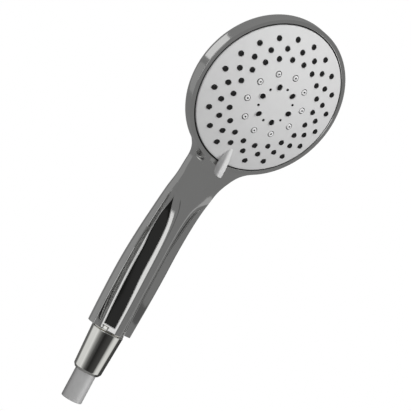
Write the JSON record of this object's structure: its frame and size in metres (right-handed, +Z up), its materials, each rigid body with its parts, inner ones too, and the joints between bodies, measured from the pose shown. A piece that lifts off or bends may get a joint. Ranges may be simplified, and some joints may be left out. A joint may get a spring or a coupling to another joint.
{
  "type": "handheld shower head",
  "caption": "Handheld shower head: round tilted spray face with rubber nozzles and a turning selector lever, chromed handle with black inlays, and a conical swivel hose nut.",
  "frame": {"origin": "on the axis of the conical hose nut, half-way up it, where a wall bracket holds the shower head", "axes": "+Z up the handle's straight part, -Y towards the spray side, +X to the object's left as it faces the user"},
  "size_m": [0.12, 0.0679, 0.3192],
  "materials": {
    "chrome": "polished chrome plating, mirror-like",
    "plate_grey": "fine satin moulded plastic",
    "nozzle_rubber": "soft silicone, satin",
    "gloss_black": "high-gloss black plastic",
    "mist_grey": "smooth grey plastic",
    "inner_acetal": "natural acetal",
    "brass": "machined brass",
    "steel": "machined stainless steel",
    "seal_rubber": "matt seal rubber"
  },
  "bodies": {
    "handle": {"handle_shell": "chrome", "side_inlay_left": "gloss_black", "side_inlay_right": "gloss_black", "end_collar": "chrome", "inlet_spigot": "brass", "flow_regulator": "gloss_black", "filter_screen": "steel", "check_valve_body": "inner_acetal", "check_valve_spring": "steel", "waterway_tube": "inner_acetal", "manifold": "inner_acetal", "port_seal": "seal_rubber", "pivot_washer": "steel", "pivot_screw": "steel", "detent_spring": "steel"},
    "selector": {"spray_plate": "plate_grey", "nozzle_mat": "nozzle_rubber", "distributor": "inner_acetal", "turbine_axle": "steel", "plate_seal_ring": "seal_rubber", "mist_insert_01": "mist_grey", "mist_insert_02": "mist_grey", "mist_insert_03": "mist_grey", "mist_insert_04": "mist_grey", "mist_insert_05": "mist_grey", "mist_insert_06": "mist_grey", "mist_insert_07": "mist_grey", "mist_insert_08": "mist_grey", "mist_insert_09": "mist_grey", "mist_insert_10": "mist_grey"},
    "turbine": {"turbine": "inner_acetal"},
    "detent": {"detent_pin": "steel"},
    "check_poppet": {"check_valve_poppet": "gloss_black"},
    "nut": {"hose_nut": "chrome"},
    "hose_end": {"hose_tail": "brass", "hose_ferrule": "chrome", "tail_ring": "inner_acetal", "hose_washer": "seal_rubber", "tail_o_ring": "seal_rubber"}
  },
  "joints": [
    {"name": "spray_selector", "type": "hinge", "parent": "handle", "child": "selector", "pos_m": [0, -0.0441, 0.218], "axis": [0, -0.9833, -0.1822], "range_deg": [-24.7, 35.3]},
    {"name": "turbine_spin", "type": "hinge", "parent": "selector", "child": "turbine", "pos_m": [0, -0.0441, 0.218], "axis": [0, -0.9833, -0.1822], "continuous": true},
    {"name": "detent_press", "type": "slide", "parent": "handle", "child": "detent", "axis": [0, 0.9833, 0.1822], "range_m": [0, 0.0006], "stiffness_N_per_m": 400, "springref_m": -0.0005},
    {"name": "check_valve_lift", "type": "slide", "parent": "handle", "child": "check_poppet", "axis": [0, 0, 1], "range_m": [0, 0.002], "stiffness_N_per_m": 60, "springref_m": -0.001, "deforming": ["check_valve_spring"]},
    {"name": "nut_turn", "type": "hinge", "parent": "handle", "child": "nut", "pos_m": [0, 0, 0], "axis": [0, 0, 1], "continuous": true},
    {"name": "hose_swivel", "type": "hinge", "parent": "handle", "child": "hose_end", "pos_m": [0, 0, 0], "axis": [0, 0, 1], "continuous": true}
  ]
}
